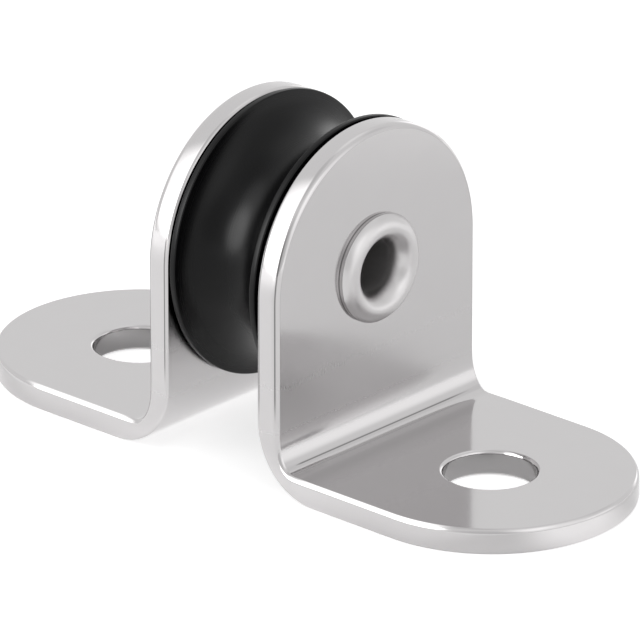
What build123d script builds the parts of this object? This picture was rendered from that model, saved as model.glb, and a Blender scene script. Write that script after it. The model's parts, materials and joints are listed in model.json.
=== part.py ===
from build123d import *
import os

# Stand-up block: a grooved sheave that turns on a hollow rivet between two bent cheeks.
# Millimetres. +Z is up, +Y runs along the axle and +X is the way that the rope runs.
# The origin is on the deck, under the middle of the axle.

# Sheave: the cheeks are as wide as it is, so that rims and cheeks make one outline
sheave_diameter = 22.0
groove_depth = 3.0  # from the rim down to the tread that the rope lies on
rim_land = 0.5  # flat width of each rim
rim_clearance = 0.26  # from a rim to the cheek beside it
rim_bevel = 0.12
rim_band = 2.2  # radial width of the solid ring outside the recess
recess_depth = 0.8  # of the turned recess between the hub and the rim
hub_wall = 1.4  # radial width of the raised ring round the bush
hub_clearance = 0.12  # from the hub's face to the cheek beside it

# Cheeks: two like brackets, cut from sheet and bent into an L
sheet_thickness = 2.0
cheek_gap = 9.0  # clear width between the two cheeks
axle_height = 15.0  # centre of the axle above the deck
inside_bend_height = 2.4  # the inside of the bend is slow against the cheek
inside_bend_reach = 1.5  # and tight against the foot
outside_bend_radius = 5.4  # larger than the inside and the sheet together, so the bend is thinner
edge_bevel = 0.4  # the broken edge all round the outline

# Deck holes, one in each foot, at the centre of its round toe
bolt_hole_diameter = 7.0
bolt_hole_spacing = 35.5
bolt_hole_bevel = 0.3

# Hollow rivet, rolled over at both ends
rivet_bore = 4.0
rivet_wall = 0.8
rivet_clearance = 0.05  # radial, in the cheeks and in the sleeve
head_diameter = 8.4
head_rim = 0.55  # height of the tube's cut end, which stands on the cheek all round
head_height = 0.95
head_crest_diameter = 6.4  # where the rolled bead stands highest
flare_depth = 0.6  # how far below the cheek's face the bore starts to open

# Spacer sleeve, clamped between the cheeks by the rivet
sleeve_wall = 0.9
sleeve_chamfer = 0.15

# Bearing bush, pressed into the sheave and running on the sleeve
bush_wall = 1.0
running_clearance = 0.05  # radial, between the sleeve and the bush

# Sizes that follow from those above
cheek_width = sheave_diameter
outline_radius = cheek_width / 2
cheek_top = axle_height + outline_radius
inner_face = cheek_gap / 2
outer_face = inner_face + sheet_thickness
toe_centre = bolt_hole_spacing / 2
foot_tip = toe_centre + outline_radius
rivet_outer_diameter = rivet_bore + 2 * rivet_wall
rivet_hole_diameter = rivet_outer_diameter + 2 * rivet_clearance
sleeve_diameter = rivet_hole_diameter + 2 * sleeve_wall
bush_bore = sleeve_diameter + 2 * running_clearance
bush_diameter = bush_bore + 2 * bush_wall
hub_diameter = bush_diameter + 2 * hub_wall
hub_width = cheek_gap - 2 * hub_clearance
sheave_width = cheek_gap - 2 * rim_clearance
groove_width = sheave_width - 2 * rim_land


def on_axle(piece):
    """Lifts a piece that was drawn about the Y axis to the height of the axle."""
    return Pos(0, 0, axle_height) * piece


def bent_strip():
    """The sheet as it leaves the brake: an L as wide as the cheek, still with square ends."""
    bend_foot = (-outer_face - inside_bend_reach, sheet_thickness)
    bend_top = (-outer_face, sheet_thickness + inside_bend_height)
    sheet = Polyline(
        bend_foot,
        (-foot_tip, sheet_thickness),
        (-foot_tip, 0),
        (-inner_face, 0),
        (-inner_face, cheek_top),
        (-outer_face, cheek_top),
        bend_top,
    )
    centre = (bend_foot[0], bend_top[1])
    inside = EllipticalCenterArc(centre, inside_bend_reach, inside_bend_height, -90, arc_size=90)
    section = make_face(Plane.YZ * (sheet + inside))
    outside = section.vertices().sort_by_distance((0, -inner_face, 0))[0]
    section = fillet(outside, outside_bend_radius)
    return extrude(section, outline_radius, both=True)


def round_ended_strip(length):
    """Flat outline: a strip that starts at -Y and ends in a half circle about the origin."""
    return Pos(0, -length / 2) * Rectangle(cheek_width, length) + Circle(outline_radius)


def front_cheek():
    """The cheek whose foot runs towards -Y, rounded at the top and at the toe."""
    arch = Pos(0, 0, axle_height) * (Plane.XZ * round_ended_strip(axle_height))
    toe = Pos(0, -toe_centre) * (Rot(0, 0, 180) * round_ended_strip(toe_centre))
    cheek = bent_strip() & extrude(arch, foot_tip) & extrude(toe, cheek_top)
    straight = cheek.edges().filter_by(GeomType.LINE)
    across_strip = straight.filter_by(Axis.X)
    across_arch = straight.filter_by(Axis.Y).filter_by_position(Axis.Z, axle_height, axle_height)
    across_toe = straight.filter_by(Axis.Z).filter_by_position(Axis.Y, -toe_centre, -toe_centre)
    rim = cheek.edges() - across_strip - across_arch - across_toe
    cheek = chamfer(rim, edge_bevel)
    axle_hole = Rot(90, 0, 0) * Cylinder(rivet_hole_diameter / 2, 2 * foot_tip)
    bolt_hole = Pos(0, -toe_centre) * Cylinder(bolt_hole_diameter / 2, 4 * sheet_thickness)
    cheek = cheek - on_axle(axle_hole) - bolt_hole
    mouths = cheek.edges().filter_by(GeomType.CIRCLE).filter_by(lambda e: e.is_closed)
    mouths = mouths.filter_by_position(Axis.Z, 0, sheet_thickness)
    return chamfer(mouths, bolt_hole_bevel)


def rear_cheek():
    """The like bracket, turned half way round."""
    return Rot(0, 0, 180) * front_cheek()


def hollow_rivet():
    """A tube through both cheeks, flared at its mouths and rolled outward until its ends stand on them."""
    bore = rivet_bore / 2
    shank = rivet_outer_diameter / 2
    edge = head_diameter / 2
    flare_foot = (bore, outer_face - flare_depth)
    crest = (head_crest_diameter / 2, outer_face + head_height)
    cut_end = (edge, outer_face + head_rim)
    bead = Spline(flare_foot, crest, cut_end, tangents=((0, 1), (1, 0), (1, -1)))
    rest = Polyline(cut_end, (edge, outer_face), (shank, outer_face), (shank, 0), (bore, 0), flare_foot)
    half = revolve(make_face(bead + rest), Axis.Y)
    return on_axle(half + mirror(half, Plane.XZ))


def tube(outer_diameter, inner_diameter, length):
    """A plain tube along the axle, centred between the cheeks."""
    wall = Circle(outer_diameter / 2) - Circle(inner_diameter / 2)
    return on_axle(extrude(Plane.XZ * wall, length / 2, both=True))


def spacer_sleeve():
    """Holds the cheeks apart, and is what the sheave turns on."""
    sleeve = tube(sleeve_diameter, rivet_hole_diameter, cheek_gap)
    return chamfer(sleeve.edges().filter_by(GeomType.CIRCLE), sleeve_chamfer)


def sheave_bush():
    """The plain bearing: it turns with the sheave."""
    return tube(bush_diameter, bush_bore, hub_width)


def sheave():
    """A turned wheel: a round rope groove, two thin rims and a recess round the hub on each side."""
    rim = sheave_diameter / 2
    hub = hub_diameter / 2
    recess = rim - rim_band
    recess_floor = sheave_width / 2 - recess_depth
    side = [
        (rim, groove_width / 2),
        (rim, sheave_width / 2),
        (recess, sheave_width / 2),
        (recess, recess_floor),
        (hub, recess_floor),
        (hub, hub_width / 2),
        (bush_diameter / 2, hub_width / 2),
    ]
    other_side = [(radius, -at) for radius, at in reversed(side)]
    groove = ThreePointArc((rim, -groove_width / 2), (rim - groove_depth, 0), (rim, groove_width / 2))
    wheel = revolve(make_face(Polyline(*side, *other_side) + groove), Axis.Y)
    rims = wheel.edges().filter_by(GeomType.CIRCLE).group_by(lambda e: e.radius)[-1]
    return on_axle(chamfer(rims, rim_bevel))


PIECES = {
    "front_cheek": front_cheek,
    "rear_cheek": rear_cheek,
    "hollow_rivet": hollow_rivet,
    "spacer_sleeve": spacer_sleeve,
    "sheave_bush": sheave_bush,
    "sheave": sheave,
}

os.makedirs("parts", exist_ok=True)
for name, make in PIECES.items():
    piece = make()
    piece.label = name
    export_step(piece, f"parts/{name}.step")
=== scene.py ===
import json
import math

import bmesh
import bpy
from mathutils import Matrix, Vector


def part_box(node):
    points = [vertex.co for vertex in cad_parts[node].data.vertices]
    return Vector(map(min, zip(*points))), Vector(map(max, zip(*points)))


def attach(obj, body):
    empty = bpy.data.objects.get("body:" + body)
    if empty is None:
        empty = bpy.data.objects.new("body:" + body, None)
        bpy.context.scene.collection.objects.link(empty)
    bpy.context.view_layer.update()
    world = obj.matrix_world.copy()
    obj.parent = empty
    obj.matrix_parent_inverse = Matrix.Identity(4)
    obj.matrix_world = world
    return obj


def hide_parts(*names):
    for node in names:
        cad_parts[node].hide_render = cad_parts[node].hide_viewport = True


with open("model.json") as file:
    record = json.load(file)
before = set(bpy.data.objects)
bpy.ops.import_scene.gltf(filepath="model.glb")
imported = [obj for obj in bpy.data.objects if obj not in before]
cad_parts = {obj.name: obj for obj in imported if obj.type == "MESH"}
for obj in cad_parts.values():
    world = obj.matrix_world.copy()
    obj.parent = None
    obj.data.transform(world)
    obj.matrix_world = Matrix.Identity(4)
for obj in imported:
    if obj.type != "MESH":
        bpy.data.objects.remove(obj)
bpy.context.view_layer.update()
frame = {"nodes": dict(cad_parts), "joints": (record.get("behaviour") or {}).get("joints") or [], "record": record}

# The looks of a stand-up block: two bent steel cheeks, the hollow rivet that joins them, and a black
# grooved sheave between them, on white paper.
# Lengths are millimetres, as on the maker's drawing, and MM turns them into metres.
MM = 0.001

# Sizes that the frame gives
cheek_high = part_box("front_cheek")[1] / MM
cheek_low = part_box("front_cheek")[0] / MM
rivet_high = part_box("hollow_rivet")[1] / MM
sheave_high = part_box("sheave")[1] / MM
deck_bolts = next(mount for mount in frame["record"]["mounts"] if mount["name"] == "deck_bolts")
AXLE_HEIGHT = frame["joints"][0]["pos_m"][2] / MM
OUTLINE_RADIUS = cheek_high.x
CHEEK_TOP = AXLE_HEIGHT + OUTLINE_RADIUS
INNER_FACE = -cheek_high.y
FOOT_TIP = -cheek_low.y
BOLT_HOLE_CENTRE = deck_bolts["dims"]["spacing_y_mm"] / 2
BOLT_HOLE_RADIUS = deck_bolts["dims"]["hole_r_mm"]
HEAD_RADIUS = rivet_high.x
HEAD_TOP = rivet_high.y
RIM_RADIUS = sheave_high.x
HUB_FACE = sheave_high.y

# Bent cheeks
SHEET = 2.0
OUTER_FACE = INNER_FACE + SHEET
OUTSIDE_BEND = 5.4
INSIDE_BEND_HEIGHT = 2.75  # the inside of the bend is slow against the cheek
INSIDE_BEND_REACH = 1.5  # and tight against the foot
DECK_EDGE = (0.15, 0.4)  # inset and radius of the rounded edge on the deck's side and the sheave's side
TOE_EDGE = (0.22, 0.6)  # the same on the outer side, round the foot
ARCH_EDGE = (0.38, 0.62)  # and round the cheek
BOLT_HOLE_ROUND = 0.3
AXLE_HOLE_RADIUS = 2.85
AXLE_HOLE_ROUND = 0.04

# Hollow rivet
BORE_RADIUS = 2.0
SHANK_RADIUS = 2.8
CREST_RADIUS = 3.2
HEAD_RIM = 0.3  # height of the tube's cut end, which stands on the cheek
HEAD_CORNER = 0.05
FLARE_DEPTH = 0.95  # how far below the cheek's face the bore starts to open
HEAD_DOME = (1.25, 1.625)  # half axes of the ellipse from the crest to the cut end

# Sheave
GROOVE_DEPTH = 3.0
RIM_LAND = 0.5
RIM_FACE = INNER_FACE - 0.26
RIM_EDGE = 0.12
RIM_BAND = 2.2
RECESS_DEPTH = 0.8
RECESS_CORNER = 0.4
BUSH_RADIUS = 4.8
HUB_RADIUS = 6.2

# How finely round shapes are divided
EDGE_STEPS = 6
BEND_STEPS = 16
BEND_LINE_STEPS = 127
ARC_STEPS = 90
GROOVE_STEPS = 40
BEAD_STEPS = 16
SIDES = 192
COLUMNS = 20

# Edges that turn by more than this stay sharp
SHARP = math.radians(25)


# Node trees


def add(tree, kind, values=None, **settings):
    """Adds a node. values are its inputs, by name or number: numbers to set, or sockets to link."""
    node = tree.nodes.new(kind)
    for name, setting in settings.items():
        setattr(node, name, setting)
    for socket, value in (values or {}).items():
        if isinstance(value, bpy.types.NodeSocket):
            tree.links.new(value, node.inputs[socket])
        else:
            node.inputs[socket].default_value = value
    return node


def maths(tree, operation, *values):
    """One step of arithmetic, as an output socket."""
    return add(tree, "ShaderNodeMath", dict(enumerate(values)), operation=operation).outputs[0]


def product(tree, value, *factors):
    """A value times any number of factors."""
    for factor in factors:
        value = maths(tree, "MULTIPLY", value, factor)
    return value


def measured(tree, operation, *vectors):
    """A number that follows from vectors, such as the length of one or the distance between two."""
    return add(tree, "ShaderNodeVectorMath", dict(enumerate(vectors)), operation=operation).outputs["Value"]


def joined(tree, **values):
    """A vector from its X, Y and Z, where those left out are 0."""
    return add(tree, "ShaderNodeCombineXYZ", values).outputs[0]


def parted(tree, vector):
    """The X, Y and Z of a vector."""
    return tuple(add(tree, "ShaderNodeSeparateXYZ", {0: vector}).outputs)


def in_mm(tree, place):
    """A place that is in metres, in millimetres."""
    return add(tree, "ShaderNodeVectorMath", {0: place, "Scale": 1 / MM}, operation="SCALE").outputs[0]


def faded(tree, value, first, last, most=1.0):
    """0 where a value is at first, the most at last and beyond, smooth between."""
    return add(
        tree, "ShaderNodeMapRange", {"Value": value, "From Min": first, "From Max": last, "To Max": most},
        interpolation_type="SMOOTHSTEP",
    ).outputs[0]


def new_tree(name, kind, inputs, outputs):
    """An empty node group with named sockets, and the nodes that stand for its two ends."""
    tree = bpy.data.node_groups.new(name, kind)
    for label, (socket, value) in inputs.items():
        made = tree.interface.new_socket(label, in_out="INPUT", socket_type=socket)
        if value is not None:
            made.default_value = value
    for label, socket in outputs.items():
        tree.interface.new_socket(label, in_out="OUTPUT", socket_type=socket)
    start = tree.nodes.new("NodeGroupInput").outputs
    end = tree.nodes.new("NodeGroupOutput").inputs
    return tree, start, end


FLOAT = "NodeSocketFloat"
COUNT = "NodeSocketInt"
VECTOR = "NodeSocketVector"
SHAPE = "NodeSocketGeometry"
FINISH = "NodeSocketMaterial"


def finish_off(tree, shape, start, end):
    """Ends a geometry tree: plain mesh in the given finish."""
    solid = add(tree, "GeometryNodeRealizeInstances", {"Geometry": shape}).outputs[0]
    finished = add(tree, "GeometryNodeSetMaterial", {"Geometry": solid, "Material": start["Finish"]})
    tree.links.new(finished.outputs[0], end["Geometry"])


def grown(name, mesh, tree, **inputs):
    """The piece that a geometry tree makes of a mesh, with the tree's named inputs set."""
    piece = bpy.data.objects.new(name, mesh)
    bpy.context.scene.collection.objects.link(piece)
    modifier = piece.modifiers.new(tree.name, "NODES")
    modifier.node_group = tree
    labels = {label.replace("_", " "): value for label, value in inputs.items()}
    for socket in tree.interface.items_tree:
        if socket.in_out == "INPUT" and socket.name in labels:
            modifier[socket.identifier] = labels[socket.name]
    return baked(piece)


def baked(piece):
    """The piece with its modifiers made plain mesh."""
    graph = bpy.context.evaluated_depsgraph_get()
    mesh = bpy.data.meshes.new_from_object(piece.evaluated_get(graph))
    piece.modifiers.clear()
    piece.data = mesh
    return piece


def cleaned(piece, turn=0.0):
    """Merges doubles, turns the piece about the upright axis and points its faces outward."""
    tidy = bmesh.new()
    tidy.from_mesh(piece.data)
    bmesh.ops.remove_doubles(tidy, verts=tidy.verts, dist=1e-7)
    bmesh.ops.rotate(tidy, verts=tidy.verts, matrix=Matrix.Rotation(turn, 3, "Z"))
    bmesh.ops.recalc_face_normals(tidy, faces=tidy.faces)
    for face in tidy.faces:
        face.smooth = True
    for edge in tidy.edges:
        edge.smooth = edge.calc_face_angle(0.0) < SHARP
    tidy.to_mesh(piece.data)
    tidy.free()
    shading = piece.modifiers.new("flat faces stay flat", "WEIGHTED_NORMAL")
    shading.keep_sharp = True
    return baked(piece)


# Cheeks: the blank is laid out flat, then bent
# On the blank, X is across it, Y runs along it from the toe, and Z is the depth from the face that
# will lie on the deck and stand beside the sheave. That face is side 0, and the outer one is side 1.


def quarter_ellipse(one, other):
    """Length of a quarter of an ellipse with the given half axes."""
    steps = 400
    turns = [math.pi / 2 * k / steps for k in range(steps + 1)]
    points = [Vector((one * math.cos(a), other * math.sin(a))) for a in turns]
    return sum((after - point).length for point, after in zip(points, points[1:]))


FOOT_FLAT = FOOT_TIP - INNER_FACE - OUTSIDE_BEND
BEND_LENGTH = OUTSIDE_BEND * math.pi / 2
CHEEK_FOOT = FOOT_FLAT + BEND_LENGTH
BLANK_LENGTH = CHEEK_FOOT + CHEEK_TOP - OUTSIDE_BEND
BOLT_HOLE_AT = FOOT_TIP - BOLT_HOLE_CENTRE
AXLE_HOLE_AT = BLANK_LENGTH - OUTLINE_RADIUS
BEND_STATIONS = [FOOT_FLAT + BEND_LENGTH * k / BEND_STEPS for k in range(BEND_STEPS + 1)]

# The inside line of the bend: flat, a quarter of an ellipse, and flat again
INSIDE_LENGTH = (
    OUTSIDE_BEND - SHEET - INSIDE_BEND_REACH
    + quarter_ellipse(INSIDE_BEND_REACH, INSIDE_BEND_HEIGHT)
    + OUTSIDE_BEND - SHEET - INSIDE_BEND_HEIGHT
)

# Steps over the wall from side 0 to side 1: the side, and the share of its rounded edge
WALL = [(0, k / EDGE_STEPS) for k in range(EDGE_STEPS + 1)] + [(1, 1 - k / EDGE_STEPS) for k in range(EDGE_STEPS + 1)]


def blank_stations():
    """Places along the blank's straight sides, close together where it will bend."""
    foot = [OUTLINE_RADIUS + (FOOT_FLAT - OUTLINE_RADIUS) * k / 3 for k in range(1, 3)]
    cheek = [CHEEK_FOOT + (AXLE_HOLE_AT - CHEEK_FOOT) * k / 4 for k in range(1, 4)]
    return foot + BEND_STATIONS + cheek


def blank_outline():
    """The outline, anticlockwise from the toe: a place on the middle line, and the way out from there."""
    turns = [math.pi * k / ARC_STEPS for k in range(ARC_STEPS + 1)]
    toe = [(OUTLINE_RADIUS, math.pi + turn) for turn in turns]
    right = [(at, 0.0) for at in blank_stations()]
    arch = [(AXLE_HOLE_AT, turn) for turn in turns]
    left = [(at, math.pi) for at in reversed(blank_stations())]
    return toe + right + arch + left


def edge_size(side, at):
    """Inset and radius of the rounded edge. On the outer side it grows from the foot to the cheek."""
    if side == 0:
        return DECK_EDGE
    share = min(max((at - FOOT_FLAT) / BEND_LENGTH, 0.0), 1.0)
    return tuple(toe + (arch - toe) * share for toe, arch in zip(TOE_EDGE, ARCH_EDGE))


def rounded(inset, radius, share):
    """A point on a rounded edge, from the crease on the face (0) to the wall (1), as (inset, depth)."""
    crease = math.acos(1 - inset / radius)
    turn = crease * (1 - share)
    return radius * (1 - math.cos(turn)), radius * (math.sin(crease) - math.sin(turn))


def from_face(side, depth):
    """Height on the blank of a point at some depth below the face of a side."""
    return depth if side == 0 else SHEET - depth


def edge_row(outline, side, share=0.0):
    """The outline's points part of the way over the rounded edge of one side."""
    points = []
    for at, turn in outline:
        inset, depth = rounded(*edge_size(side, at), share)
        half = OUTLINE_RADIUS - inset
        points.append((half * math.cos(turn), at + half * math.sin(turn), from_face(side, depth)))
    return points


def across_row(side, at):
    """Points across one face of the blank, from left to right."""
    half = OUTLINE_RADIUS - edge_size(side, at)[0]
    return [(-half + 2 * half * k / COLUMNS, at, from_face(side, 0)) for k in range(COLUMNS + 1)]


class Sheet:
    """Points in millimetres, and the faces between rows of them."""

    def __init__(self):
        self.points = []
        self.faces = []

    def row(self, points):
        """Adds points, and returns their numbers."""
        first = len(self.points)
        self.points += points
        return range(first, len(self.points))

    def strip(self, one, other, closed=True):
        """Adds the faces between two rows that are equally long."""
        count = len(one)
        for k in range(count if closed else count - 1):
            after = (k + 1) % count
            self.faces.append((one[k], one[after], other[after], other[k]))

    def surface(self, rows, closed=True):
        """Adds the faces over rows that follow each other."""
        for one, other in zip(rows, rows[1:]):
            self.strip(one, other, closed)

    def mesh(self, name):
        """The sheet as a mesh in metres."""
        mesh = bpy.data.meshes.new(name)
        mesh.from_pydata([Vector(point) * MM for point in self.points], [], self.faces)
        return mesh


def end_ring(end, side):
    """The outline of one flat end of the blank, closed along the line where the bend starts."""
    near = 1e-9
    outline = blank_outline()
    if end == "foot":
        kept = [(at, turn) for at, turn in outline if at <= FOOT_FLAT + near]
        split = next(k for k, (at, turn) in enumerate(kept) if turn == math.pi and at >= FOOT_FLAT - near)
        return edge_row(kept[split:] + kept[:split], side) + across_row(side, FOOT_FLAT)[-2:0:-1]
    kept = [(at, turn) for at, turn in outline if at >= CHEEK_FOOT - near]
    return edge_row(kept, side) + across_row(side, CHEEK_FOOT)[1:-1]


def flat_blank():
    """The punched blank: a strip with round ends, two holes and a rounded edge all round."""
    sheet = Sheet()
    for end, hole_at, hole_radius, hole_round in (
        ("foot", BOLT_HOLE_AT, BOLT_HOLE_RADIUS, BOLT_HOLE_ROUND),
        ("cheek", AXLE_HOLE_AT, AXLE_HOLE_RADIUS, AXLE_HOLE_ROUND),
    ):
        turns = [math.atan2(along - hole_at, across) for across, along, _ in end_ring(end, 1)]
        rows = []
        for side, share in WALL:
            inset, depth = rounded(hole_round, hole_round, share)
            radius = hole_radius + inset
            wall = [(radius * math.cos(a), hole_at + radius * math.sin(a), from_face(side, depth)) for a in turns]
            rows.append(sheet.row(wall))
        sheet.surface(rows)
        for side, mouth in ((0, rows[0]), (1, rows[-1])):
            sheet.strip(sheet.row(end_ring(end, side)), mouth)
    for side in (0, 1):
        sheet.surface([sheet.row(across_row(side, at)) for at in BEND_STATIONS], closed=False)
    sheet.surface([sheet.row(edge_row(blank_outline(), side, share)) for side, share in WALL])
    return sheet.mesh("blank")


def face_line(tree, start, offset, reach, height):
    """One face of the sheet from the toe to the top, with a quarter of an ellipse at the corner."""
    slow = maths(tree, "DIVIDE", height, reach)
    rise = maths(tree, "DIVIDE", maths(tree, "SUBTRACT", start["Cheek Top"], offset), slow)
    corner_y = maths(tree, "SUBTRACT", maths(tree, "MULTIPLY", start["Inner Face"], -1.0), offset)
    toe = joined(tree, Y=maths(tree, "MULTIPLY", start["Toe Reach"], -1.0))
    top = joined(tree, Y=corner_y, Z=rise)
    spot = joined(tree, Y=corner_y)
    index = add(tree, "GeometryNodeInputIndex").outputs[0]
    for number, place in ((0.0, toe), (2.0, top)):
        here = maths(tree, "COMPARE", index, number, 0.1)
        choice = {"Switch": here, "False": spot, "True": place}
        spot = add(tree, "GeometryNodeSwitch", choice, input_type="VECTOR").outputs[0]
    line = add(tree, "GeometryNodeMeshLine", {"Count": 3}, mode="OFFSET").outputs[0]
    placed = add(tree, "GeometryNodeSetPosition", {"Geometry": line, "Position": spot}).outputs[0]
    curve = add(tree, "GeometryNodeMeshToCurve", {0: placed}).outputs[0]
    filleted = add(
        tree, "GeometryNodeFilletCurve", {"Curve": curve, "Count": BEND_LINE_STEPS, "Radius": reach}, mode="POLY",
    ).outputs[0]
    return add(
        tree,
        "GeometryNodeTransform",
        {"Geometry": filleted, "Translation": joined(tree, Z=offset), "Scale": joined(tree, X=1.0, Y=1.0, Z=slow)},
    ).outputs[0]


def along_line(tree, line, length):
    """The place on a line at a length from its start."""
    return add(
        tree, "GeometryNodeSampleCurve", {"Curves": line, "Length": length}, mode="LENGTH"
    ).outputs["Position"]


def bend_tree():
    """Lays a flat blank along two bent lines, one for each face of the sheet."""
    labels = (
        "Sheet Thickness", "Inner Face", "Toe Reach", "Cheek Top", "Outside Bend Radius", "Inside Bend Height",
        "Inside Bend Reach", "Foot Flat", "Outside Length", "Inside Length",
    )
    tree, start, end = new_tree(
        "bent strip",
        "GeometryNodeTree",
        {"Blank": (SHAPE, None), **{label: (FLOAT, None) for label in labels}, "Finish": (FINISH, None)},
        {"Geometry": SHAPE},
    )
    place = add(tree, "GeometryNodeInputPosition").outputs[0]
    across, along, depth = parted(tree, place)
    kept = add(
        tree, "GeometryNodeStoreNamedAttribute", {"Geometry": start["Blank"], "Name": "blank", "Value": place},
        data_type="FLOAT_VECTOR", domain="POINT",
    ).outputs[0]

    # Over the bend the inside line is shorter than the outside one
    taken_up = add(
        tree,
        "ShaderNodeMapRange",
        {
            "Value": along,
            "From Min": start["Foot Flat"],
            "From Max": maths(tree, "ADD", start["Foot Flat"], start["Outside Length"]),
            "To Min": 0.0,
            "To Max": maths(tree, "SUBTRACT", start["Outside Length"], start["Inside Length"]),
        },
    ).outputs[0]
    thickness, radius = start["Sheet Thickness"], start["Outside Bend Radius"]
    outside_line = face_line(tree, start, 0.0, radius, radius)
    inside_line = face_line(tree, start, thickness, start["Inside Bend Reach"], start["Inside Bend Height"])
    outside = along_line(tree, outside_line, along)
    inside = along_line(tree, inside_line, maths(tree, "SUBTRACT", along, taken_up))
    between = add(
        tree, "ShaderNodeMix", {"Factor": maths(tree, "DIVIDE", depth, thickness), 4: outside, 5: inside},
        data_type="VECTOR", clamp_factor=False,
    ).outputs[1]
    bent = add(tree, "ShaderNodeVectorMath", {0: between, 1: joined(tree, X=across)}, operation="ADD").outputs[0]
    laid = add(tree, "GeometryNodeSetPosition", {"Geometry": kept, "Position": bent}).outputs[0]
    finish_off(tree, laid, start, end)
    return tree


# Turned pieces: an outline of corners, each with its own rounding, turned about the axle


def turned_tree():
    """Rounds the corners of a closed outline and turns it about the axle."""
    tree, start, end = new_tree(
        "turned piece",
        "GeometryNodeTree",
        {
            "Outline": (SHAPE, None),
            "Ring Radius": (FLOAT, None),
            "Axle Height": (FLOAT, AXLE_HEIGHT * MM),
            "Sides": (COUNT, SIDES),
            "Corner Steps": (COUNT, EDGE_STEPS),
            "Finish": (FINISH, None),
        },
        {"Geometry": SHAPE},
    )
    curve = add(tree, "GeometryNodeMeshToCurve", {0: start["Outline"]}).outputs[0]
    rounding = add(tree, "GeometryNodeInputNamedAttribute", {"Name": "rounding"}, data_type="FLOAT").outputs[0]
    filleted = add(
        tree, "GeometryNodeFilletCurve", {"Curve": curve, "Count": start["Corner Steps"], "Radius": rounding},
        mode="POLY",
    ).outputs[0]
    inward = joined(tree, X=maths(tree, "MULTIPLY", start["Ring Radius"], -1.0))
    moved = add(tree, "GeometryNodeTransform", {"Geometry": filleted, "Translation": inward}).outputs[0]
    ring = add(
        tree, "GeometryNodeCurvePrimitiveCircle", {"Resolution": start["Sides"], "Radius": start["Ring Radius"]}
    ).outputs[0]
    turned = add(tree, "GeometryNodeCurveToMesh", {"Curve": ring, "Profile Curve": moved}).outputs[0]
    upward = joined(tree, Z=start["Axle Height"])
    placed = add(
        tree,
        "GeometryNodeTransform",
        {"Geometry": turned, "Translation": upward, "Rotation": (math.pi / 2, 0.0, 0.0)},
    ).outputs[0]
    finish_off(tree, placed, start, end)
    return tree


def outline_mesh(name, corners):
    """A closed outline from (radius, along the axle, rounding) corners."""
    mesh = bpy.data.meshes.new(name)
    count = len(corners)
    edges = [(k, (k + 1) % count) for k in range(count)]
    mesh.from_pydata([(radius * MM, along * MM, 0) for radius, along, _ in corners], edges, [])
    rounding = mesh.attributes.new("rounding", "FLOAT", "POINT")
    rounding.data.foreach_set("value", [value * MM for _, _, value in corners])
    return mesh


def arc(centre, across, along, first, last, steps):
    """Corners along an arc, given its centre, its two radii and its angles in degrees."""
    turns = [math.radians(first + (last - first) * k / steps) for k in range(steps + 1)]
    return [(centre[0] + across * math.cos(a), centre[1] + along * math.sin(a), 0.0) for a in turns]


def mirrored(side):
    """The side, followed by its mirror image beyond the middle of the axle."""
    return side + [(radius, -along, rounding) for radius, along, rounding in reversed(side)]


def sheave_outline():
    """The wheel's section: rims, recesses and hub on both sides, and the round groove between the rims."""
    half_groove = RIM_FACE - RIM_LAND
    radius = (half_groove**2 + GROOVE_DEPTH**2) / (2 * GROOVE_DEPTH)
    spread = math.degrees(math.asin(half_groove / radius))
    centre = (RIM_RADIUS - GROOVE_DEPTH + radius, 0)
    groove = arc(centre, radius, radius, 180 + spread, 180 - spread, GROOVE_STEPS)[1:-1]
    recess = RIM_RADIUS - RIM_BAND
    floor = RIM_FACE - RECESS_DEPTH
    side = [
        (RIM_RADIUS, half_groove, RIM_EDGE),
        (RIM_RADIUS, RIM_FACE, RIM_EDGE),
        (recess, RIM_FACE, RIM_EDGE),
        (recess, floor, RECESS_CORNER),
        (HUB_RADIUS, floor, RECESS_CORNER),
        (HUB_RADIUS, HUB_FACE, RIM_EDGE),
        (BUSH_RADIUS, HUB_FACE, 0.0),
    ]
    return outline_mesh("sheave outline", mirrored(side) + groove)


def rivet_outline():
    """The tube's section: a flared mouth and a rolled bead at each end, and the shank between the beads."""
    flare_start = OUTER_FACE - FLARE_DEPTH
    wide, high = CREST_RADIUS - BORE_RADIUS, HEAD_TOP - flare_start
    flare = arc((CREST_RADIUS, flare_start), wide, high, 180, 90, BEAD_STEPS)
    wide, high = HEAD_DOME
    dome_end = math.degrees(math.acos((HEAD_RADIUS - CREST_RADIUS) / wide))
    dome = arc((CREST_RADIUS, HEAD_TOP - high), wide, high, 90, dome_end, BEAD_STEPS)[1:-1]
    cut_end = [(HEAD_RADIUS, OUTER_FACE + HEAD_RIM, HEAD_CORNER), (HEAD_RADIUS, OUTER_FACE, 0.0)]
    return outline_mesh("rivet outline", mirrored(flare + dome + cut_end + [(SHANK_RADIUS, OUTER_FACE, 0.0)]))


# Finishes

STEEL = (0.552, 0.540, 0.543)
SHEET_SHADES = (0.544, 0.532, 0.535, 1), (0.560, 0.548, 0.551, 1)
TUBE_SHADES = (0.570, 0.558, 0.560, 1), (0.600, 0.588, 0.590, 1)
BORE_PAINTED_SHADE = (0.27, 0.262, 0.262, 1)
# colour of the painted shade and reflection lines on the cheeks and the rivet
PAINTED_DARK_LINE = (0.06, 0.058, 0.058, 1)
ACETAL_SHADES = (0.0014, 0.0014, 0.0017, 1), (0.0026, 0.0026, 0.0029, 1)
BEARING_SHADES = (0.14, 0.145, 0.15, 1), (0.18, 0.185, 0.19, 1)

REFLECTION_LINE_DEPTH = 0.25  # of the painted dark line on the cheek's wall that stands in for a reflection, from either face
PRESSED_LINE_AT = 0.4625  # share of the bend's length at which the brake's nose pressed its line


def noise(tree, place, scale, detail, roughness=0.5):
    """A cloudy value about 0.5."""
    values = {"Vector": place, "Scale": scale, "Detail": detail, "Roughness": roughness}
    return add(tree, "ShaderNodeTexNoise", values).outputs[0]


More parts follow.
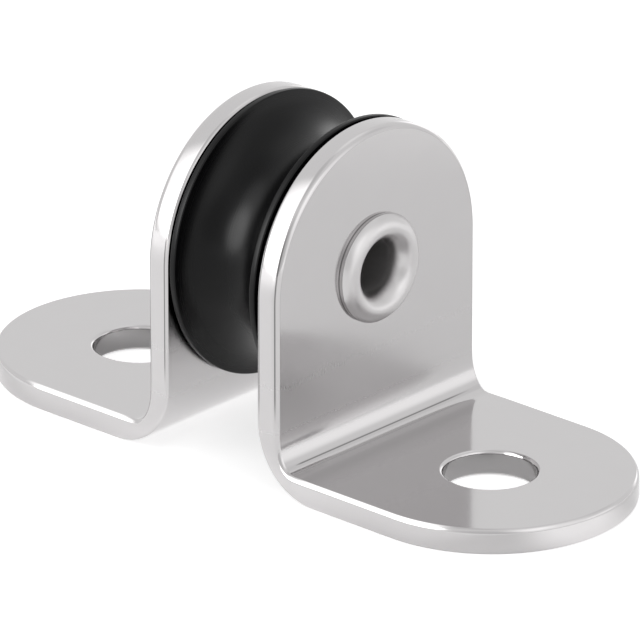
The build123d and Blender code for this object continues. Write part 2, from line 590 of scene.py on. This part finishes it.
def steel_group():
    """Fine polishing lines, a slow waviness and a cloudy shade, over a surface in metres."""
    tree, start, end = new_tree(
        "polished steel",
        "ShaderNodeTree",
        {
            "Surface": (VECTOR, None),
            "Line Spacing": (FLOAT, 0.06),
            "Line Length": (FLOAT, 5.0),
            "Base Roughness": (FLOAT, 0.2),
            "Roughness Spread": (FLOAT, 0.06),
        },
        {"Height": FLOAT, "Waviness": FLOAT, "Roughness": FLOAT, "Shade": FLOAT},
    )
    place = in_mm(tree, start["Surface"])
    across = maths(tree, "DIVIDE", 1.0, start["Line Spacing"])
    along = maths(tree, "DIVIDE", 1.0, start["Line Length"])
    stretch = joined(tree, X=across, Y=along, Z=across)
    lined = add(tree, "ShaderNodeVectorMath", {0: place, 1: stretch}, operation="MULTIPLY").outputs[0]
    lines = noise(tree, lined, 1.0, 3.0, 0.6)
    slow = noise(tree, place, 0.16, 2.0, 0.4)
    cloud = noise(tree, place, 0.45, 4.0, 0.6)
    spread = maths(tree, "MULTIPLY", maths(tree, "SUBTRACT", cloud, 0.5), start["Roughness Spread"])
    fine = maths(tree, "MULTIPLY", maths(tree, "SUBTRACT", lines, 0.5), start["Roughness Spread"])
    rough = maths(tree, "ADD", start["Base Roughness"], maths(tree, "ADD", spread, fine))
    tree.links.new(lines, end["Height"])
    tree.links.new(slow, end["Waviness"])
    tree.links.new(maths(tree, "MAXIMUM", rough, 0.03), end["Roughness"])
    tree.links.new(cloud, end["Shade"])
    return tree


def axle_group():
    """Distance from the axle's centre line and place along it, in millimetres."""
    tree, start, end = new_tree(
        "about the axle",
        "ShaderNodeTree",
        {"Point": (VECTOR, None), "Axle Height": (FLOAT, AXLE_HEIGHT)},
        {"Radius": FLOAT, "Along": FLOAT},
    )
    x, y, z = parted(tree, in_mm(tree, start["Point"]))
    up = maths(tree, "SUBTRACT", z, start["Axle Height"])
    tree.links.new(measured(tree, "LENGTH", joined(tree, X=x, Y=up)), end["Radius"])
    tree.links.new(y, end["Along"])
    return tree


def line_group():
    """1 on a fine line, where a value passes a given place, and 0 beside it."""
    tree, start, end = new_tree(
        "fine line",
        "ShaderNodeTree",
        {"Value": (FLOAT, 0.0), "At": (FLOAT, 0.0), "Half Width": (FLOAT, 0.03)},
        {"Mask": FLOAT},
    )
    off = maths(tree, "ABSOLUTE", maths(tree, "SUBTRACT", start["Value"], start["At"]))
    tree.links.new(faded(tree, off, start["Half Width"], 0.0), end["Mask"])
    return tree


POLISH = steel_group()
LINE = line_group()
ABOUT_AXLE = axle_group()


def material(name, colour, metallic, roughness):
    """A material with its shader's plain values set, and the tree to build on."""
    made = bpy.data.materials.new(name)
    made.use_nodes = True
    tree = made.node_tree
    shader = tree.nodes["Principled BSDF"]
    shader.inputs["Base Color"].default_value = (*colour, 1)
    shader.inputs["Metallic"].default_value = metallic
    shader.inputs["Roughness"].default_value = roughness
    return made, tree, shader.inputs


def group(tree, kind, values):
    """Places a shared effect in a material."""
    return add(tree, "ShaderNodeGroup", values, node_tree=kind).outputs


def fine_line(tree, value, at, half_width):
    """1 where a value passes a place, and 0 beside it."""
    return group(tree, LINE, {"Value": value, "At": at, "Half Width": half_width})["Mask"]


def mixed(tree, factor, one, other):
    """A colour between two others."""
    return add(tree, "ShaderNodeMix", {0: factor, 6: one, 7: other}, data_type="RGBA").outputs[2]


def own_place(tree):
    """The place on the piece itself, in metres."""
    return add(tree, "ShaderNodeTexCoord").outputs["Object"]


def bump(tree, strength, height, amount, **under):
    """Fine relief of a height in millimetres. It lies on top of the one given as Normal, if any."""
    return add(
        tree, "ShaderNodeBump", {"Strength": strength, "Distance": height * MM, "Height": amount, **under}
    ).outputs[0]


def cheek_finish():
    """Polished sheet with painted dark lines for shade and reflections. Its marks and these lines are laid out on the
    flat blank, and bend with it.
    """
    made, tree, shader = material("tumbled stainless sheet", STEEL, 1.0, 0.12)
    place = add(tree, "ShaderNodeAttribute", attribute_name="blank").outputs["Vector"]
    across, along, depth = parted(tree, in_mm(tree, place))
    polish = group(tree, POLISH, {"Surface": place, "Base Roughness": 0.11, "Roughness Spread": 0.04})
    upright = faded(tree, along, CHEEK_FOOT, CHEEK_FOOT + 2.5)

    # A painted dark line, standing in for a reflection, runs along the wall of the upright part
    nearest = maths(tree, "MINIMUM", depth, maths(tree, "SUBTRACT", SHEET, depth))
    below_arch = faded(tree, along, AXLE_HOLE_AT + 7.0, AXLE_HOLE_AT + 3.5)
    painted_reflection_line = product(tree, fine_line(tree, nearest, REFLECTION_LINE_DEPTH, 0.08), upright, below_arch, 0.85)

    # The rounded edge starts at a crease on the upright part, where a faint painted dark line stands in for the
    # crease's reflection
    beyond = maths(tree, "MAXIMUM", maths(tree, "SUBTRACT", along, AXLE_HOLE_AT), 0.0)
    from_middle = measured(tree, "LENGTH", joined(tree, X=across, Y=beyond))
    crease_at = OUTLINE_RADIUS - ARCH_EDGE[0] - 0.03
    crease = product(tree, fine_line(tree, from_middle, crease_at, 0.05), upright, 0.18)

    # The brake's nose pressed a line along the inside of the bend, and painted shade darkens it
    pressed_line_shade = fine_line(tree, along, FOOT_FLAT + PRESSED_LINE_AT * BEND_LENGTH, 0.13)
    inside = faded(tree, depth, SHEET - 0.1, SHEET - 0.02)
    left_end, right_end = faded(tree, across, -9.9, -9.0), faded(tree, across, 9.8, 7.0)
    pressed_line_shade = product(tree, pressed_line_shade, inside, left_end, right_end, 0.7)

    # Painted shade: these dark lines darken the steel's colour in place of shade and reflections
    painted_dark = maths(tree, "MAXIMUM", maths(tree, "MAXIMUM", painted_reflection_line, pressed_line_shade), crease)
    shade = mixed(tree, polish["Shade"], *SHEET_SHADES)
    tree.links.new(mixed(tree, painted_dark, shade, PAINTED_DARK_LINE), shader["Base Color"])

    # The corner over the bend is harder to reach with the polishing wheel
    above_bend = faded(tree, along, CHEEK_FOOT + 8.5, CHEEK_FOOT + 2.0)
    corner = product(tree, above_bend, faded(tree, along, FOOT_FLAT + 0.6 * BEND_LENGTH, CHEEK_FOOT), 0.18)
    tree.links.new(maths(tree, "ADD", polish["Roughness"], corner), shader["Roughness"])
    slow = bump(tree, 1.0, 0.02, polish["Waviness"])
    tree.links.new(bump(tree, 0.12, 0.002, polish["Height"], Normal=slow), shader["Normal"])
    return made


def rivet_finish():
    """Polished beads, a duller bore darkened by painted shade, and painted shade lines round the tube's cut end."""
    made, tree, shader = material("rolled stainless tube", STEEL, 1.0, 0.3)
    point = own_place(tree)
    about = group(tree, ABOUT_AXLE, {"Point": point})
    radius, out = about["Radius"], maths(tree, "ABSOLUTE", about["Along"])
    polish = group(tree, POLISH, {"Surface": point, "Line Spacing": 0.12, "Line Length": 1.0, "Base Roughness": 0.31})
    # The bore is duller and rougher, and painted shade darkens its colour deep inside the hole
    deep = faded(tree, out, OUTER_FACE + 0.05, OUTER_FACE - FLARE_DEPTH)
    bore = product(tree, deep, faded(tree, radius, BORE_RADIUS + 0.12, BORE_RADIUS))

    # Painted shade lines run on both sides of the cut end: a painted contact shadow where it stands on the cheek, and
    # painted shade at its top corner
    contact_shadow_line = fine_line(tree, out, OUTER_FACE + 0.02, 0.07)
    corner_shade_line = fine_line(tree, out, OUTER_FACE + HEAD_RIM, 0.05)
    lines = maths(tree, "MAXIMUM", contact_shadow_line, product(tree, corner_shade_line, 0.7))
    lines = product(tree, lines, faded(tree, radius, HEAD_RADIUS - 0.15, HEAD_RADIUS - 0.03), 0.8)

    shade = mixed(tree, lines, mixed(tree, polish["Shade"], *TUBE_SHADES), PAINTED_DARK_LINE)
    tree.links.new(mixed(tree, bore, shade, BORE_PAINTED_SHADE), shader["Base Color"])
    tree.links.new(maths(tree, "ADD", polish["Roughness"], product(tree, bore, 0.35)), shader["Roughness"])
    tree.links.new(bump(tree, 0.2, 0.01, polish["Waviness"]), shader["Normal"])
    return made


def sheave_finish():
    """Black plastic with a fine grain and faint rings from turning."""
    made, tree, shader = material("black moulded acetal", (0.002, 0.002, 0.0022), 0.0, 0.3)
    shader["Specular IOR Level"].default_value = 0.19
    point = own_place(tree)
    about = group(tree, ABOUT_AXLE, {"Point": point})
    rings = noise(tree, joined(tree, X=about["Radius"], Y=about["Along"]), 9.0, 3.0)
    grain = noise(tree, in_mm(tree, point), 7.0, 4.0)
    tree.links.new(mixed(tree, grain, *ACETAL_SHADES), shader["Base Color"])
    rough = add(tree, "ShaderNodeMapRange", {"Value": rings, "To Min": 0.21, "To Max": 0.31}).outputs[0]
    tree.links.new(rough, shader["Roughness"])
    turned_rings = bump(tree, 0.3, 0.01, rings)
    tree.links.new(bump(tree, 0.2, 0.005, grain, Normal=turned_rings), shader["Normal"])
    return made


def sleeve_finish():
    """Drawn steel tube, hidden inside the sheave."""
    made, tree, shader = material("drawn stainless tube", (0.5, 0.495, 0.49), 1.0, 0.25)
    polish = group(tree, POLISH, {"Surface": own_place(tree), "Base Roughness": 0.25})
    tree.links.new(polish["Roughness"], shader["Roughness"])
    tree.links.new(bump(tree, 0.3, 0.004, polish["Height"]), shader["Normal"])
    return made


def bush_finish():
    """Grey bearing plastic, hidden inside the sheave."""
    made, tree, shader = material("grey bearing plastic", (0.16, 0.165, 0.17), 0.0, 0.4)
    grain = noise(tree, in_mm(tree, own_place(tree)), 5.0, 4.0)
    tree.links.new(mixed(tree, grain, *BEARING_SHADES), shader["Base Color"])
    tree.links.new(bump(tree, 0.2, 0.005, grain), shader["Normal"])
    return made


# The pieces

bend = bend_tree()
turned = turned_tree()
cheek_steel = cheek_finish()
rivet_steel = rivet_finish()
black_acetal = sheave_finish()

cheek_sizes = dict(
    Sheet_Thickness=SHEET * MM,
    Inner_Face=INNER_FACE * MM,
    Toe_Reach=FOOT_TIP * MM,
    Cheek_Top=CHEEK_TOP * MM,
    Outside_Bend_Radius=OUTSIDE_BEND * MM,
    Inside_Bend_Height=INSIDE_BEND_HEIGHT * MM,
    Inside_Bend_Reach=INSIDE_BEND_REACH * MM,
    Foot_Flat=FOOT_FLAT * MM,
    Outside_Length=BEND_LENGTH * MM,
    Inside_Length=INSIDE_LENGTH * MM,
    Finish=cheek_steel,
)
near = cleaned(grown("bent_cheek_front", flat_blank(), bend, **cheek_sizes))
far = cleaned(grown("bent_cheek_rear", flat_blank(), bend, **cheek_sizes), turn=math.pi)
wheel = cleaned(
    grown("turned_sheave", sheave_outline(), turned, Ring_Radius=BUSH_RADIUS * MM, Finish=black_acetal)
)
rivet = cleaned(
    grown("rolled_rivet", rivet_outline(), turned, Ring_Radius=BORE_RADIUS * MM, Finish=rivet_steel)
)

for piece, body, node, slot in (
    (near, "frame", "front_cheek", "cheek_steel"),
    (far, "frame", "rear_cheek", "cheek_steel"),
    (rivet, "frame", "hollow_rivet", "rivet_steel"),
    (wheel, "wheel", "sheave", "sheave_acetal"),
):
    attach(piece, body)
    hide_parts(node)

for name, finish in (("spacer_sleeve", sleeve_finish()), ("sheave_bush", bush_finish())):
    for slot in frame["nodes"][name].material_slots:
        slot.material = finish


# Studio

# What polished steel sees round the block: the way to each light or card, the half angles in degrees
# that it fills and fades out at, and how much it adds to white paper all round
SURROUNDINGS = (
    ((-0.90, 0.33, 0.29), 9, 30, 5.2),
    ((-0.62, 0.42, 0.66), 8, 30, 1.3),
    ((-0.30, 0.03, 0.95), 8, 30, -0.2),
    ((0.40, 0.12, 0.91), 4, 20, 0.2),
    ((0.95, 0.30, 0.05), 5, 20, 0.8),
    ((0.68, -0.33, 0.65), 4, 14, -0.1),
    ((-0.68, -0.62, 0.20), 10, 32, -0.2),
    ((0.68, -0.73, 0.02), 6, 23, 0.42),
    ((0.05, -0.95, 0.30), 10, 38, 0.35),
    ((-0.25, -0.82, 0.51), 6, 24, 0.3),
)

# What it sees of the floor, with painted light and shade in the floor's glow: the brightness all over, then what is
# added towards some sides, with the way and the distances at which it starts and is full, and what is added round
# some places, with the place and the distances at which it is full and ends
FLOOR_MIRRORED = 0.40
FLOOR_SIDES = (
    ((-1, 0, 0), 11.0, 13.5, 0.2),
    ((-0.74, 0.675, 0), 45, 150, 0.4),
    ((-0.74, -0.675, 0), 8, 45, -0.12),
    ((0.68, -0.73, 0), 56, 90, 0.3),
)
FLOOR_PLACES = (
    ((-1, -34, 0), 3.5, 10, 0.5),
    ((0, 0, 0), 8, 20, 0.33),
)
# painted shade on the floor at the bottom of the bolt holes, as reflections see it
BOLT_HOLE_PAINTED_SHADE = -0.42

# The backdrop and the floor as the eye sees them, and the light that they throw on the block
BACKDROP_SEEN, BACKDROP_LIGHT = 1.0, 0.55
FLOOR_SEEN, FLOOR_LIGHT = 0.62, 0.0
FLOOR_HALF_WIDTH = 600.0
FLOOR_HEIGHT = -0.02  # just below the feet
SOLE_GAP = 0.3  # a reflection shorter than this is in the sole of a foot

SOFTBOX_AIM = Vector((0, 0, 13.0))
SOFTBOX_DISTANCE = 600.0
SOFTBOX_SIZE = 300.0
SOFTBOX_RADIANCE = 1.8

# The camera: far off, with a long lens
CAMERA_WAY = Vector((-0.6828, -0.6238, 0.3805))
CAMERA_DISTANCE = 735.0
CAMERA_START = Vector((0, 0, 13.2))
CAMERA_AIM = Vector((-0.716, -1.439, 9.556))
LENS = 556.2
SENSOR = 36


def as_seen(tree, eye, mirror, lit):
    """One value for the eye, one for a reflection and one for light that falls on things."""
    path = add(tree, "ShaderNodeLightPath").outputs
    reflected = maths(tree, "MAXIMUM", path["Is Glossy Ray"], path["Is Transmission Ray"])
    unseen = add(tree, "ShaderNodeMix", {0: reflected, 2: lit, 3: mirror}).outputs[0]
    return add(tree, "ShaderNodeMix", {0: path["Is Camera Ray"], 2: unseen, 3: eye}).outputs[0]


def backdrop():
    """White paper all round. Reflections see the lights and cards on it too."""
    world = bpy.data.worlds.new("studio")
    bpy.context.scene.world = world
    world.use_nodes = True
    tree = world.node_tree
    background = tree.nodes["Background"]
    background.inputs["Color"].default_value = (1, 1, 1, 1)
    way = add(tree, "ShaderNodeTexCoord").outputs["Generated"]
    mirror = 1.0
    for centre, inner, outer, amount in SURROUNDINGS:
        near = measured(tree, "DOT_PRODUCT", way, Vector(centre).normalized())
        light = faded(tree, near, math.cos(math.radians(outer)), math.cos(math.radians(inner)), amount)
        mirror = maths(tree, "ADD", mirror, light)
    tree.links.new(as_seen(tree, BACKDROP_SEEN, mirror, BACKDROP_LIGHT), background.inputs["Strength"])


def floor_finish():
    """White paper that the eye looks through from below, where it sees the soles of the feet."""
    paper, tree, shader = material("white paper", (0.8, 0.8, 0.8), 0.0, 0.9)
    shader["Emission Color"].default_value = (1, 1, 1, 1)
    path = add(tree, "ShaderNodeLightPath").outputs
    from_below = product(tree, add(tree, "ShaderNodeNewGeometry").outputs["Backfacing"], path["Is Camera Ray"])
    tree.links.new(maths(tree, "SUBTRACT", 1.0, from_below), shader["Alpha"])

    place = in_mm(tree, own_place(tree))
    mirror = FLOOR_MIRRORED
    for way, start, full, amount in FLOOR_SIDES:
        out = measured(tree, "DOT_PRODUCT", place, way)
        mirror = maths(tree, "ADD", mirror, faded(tree, out, start, full, amount))
    for centre, full, end, amount in FLOOR_PLACES:
        off = measured(tree, "DISTANCE", place, centre)
        mirror = maths(tree, "ADD", mirror, faded(tree, off, end, full, amount))

    # Painted shade: in reflections the deck is darker at the bottom of the bolt holes, but not in the soles of the
    # feet
    x, y, _ = parted(tree, place)
    out = maths(tree, "SUBTRACT", maths(tree, "ABSOLUTE", y), BOLT_HOLE_CENTRE)
    off = measured(tree, "LENGTH", joined(tree, X=x, Y=out))
    in_hole = faded(tree, off, BOLT_HOLE_RADIUS + 2.5, BOLT_HOLE_RADIUS + 0.5, BOLT_HOLE_PAINTED_SHADE)
    off_sole = maths(tree, "GREATER_THAN", path["Ray Length"], SOLE_GAP * MM)
    mirror = maths(tree, "ADD", mirror, product(tree, in_hole, off_sole))
    tree.links.new(as_seen(tree, FLOOR_SEEN, mirror, FLOOR_LIGHT), shader["Emission Strength"])
    return paper


def lay_floor():
    """The paper that the block stands on."""
    mesh = bpy.data.meshes.new("floor")
    half, low = FLOOR_HALF_WIDTH * MM, FLOOR_HEIGHT * MM
    corners = [(-half, -half, low), (half, -half, low), (half, half, low), (-half, half, low)]
    mesh.from_pydata(corners, [], [(0, 1, 2, 3)])
    mesh.materials.append(floor_finish())
    floor = bpy.data.objects.new("floor", mesh)
    bpy.context.scene.collection.objects.link(floor)


def softbox(name, way):
    """A square area lamp that faces the block from the given way."""
    lamp = bpy.data.lights.new(name, "AREA")
    lamp.shape = "SQUARE"
    lamp.size = SOFTBOX_SIZE * MM
    lamp.energy = SOFTBOX_RADIANCE * math.pi * (SOFTBOX_SIZE * MM) ** 2
    holder = bpy.data.objects.new(name, lamp)
    out = Vector(way).normalized() * SOFTBOX_DISTANCE * MM
    holder.location = SOFTBOX_AIM * MM + out
    holder.rotation_euler = out.to_track_quat("Z", "Y").to_euler()
    holder.visible_glossy = False
    bpy.context.scene.collection.objects.link(holder)


def camera():
    """The photo's own view of the block."""
    lens = bpy.data.cameras.new("camera")
    lens.lens = LENS
    lens.sensor_width = SENSOR
    lens.clip_start = 0.05
    lens.clip_end = 10
    holder = bpy.data.objects.new("camera", lens)
    holder.location = (CAMERA_START + CAMERA_WAY.normalized() * CAMERA_DISTANCE) * MM
    look = CAMERA_AIM * MM - holder.location
    holder.rotation_euler = look.to_track_quat("-Z", "Y").to_euler()
    bpy.context.scene.collection.objects.link(holder)
    bpy.context.scene.camera = holder


backdrop()
lay_floor()
softbox("left softbox", (-0.67, 0.62, 0.40))
softbox("overhead softbox", (-0.24, -0.30, 0.92))
camera()
bpy.context.scene.view_settings.view_transform = "Standard"
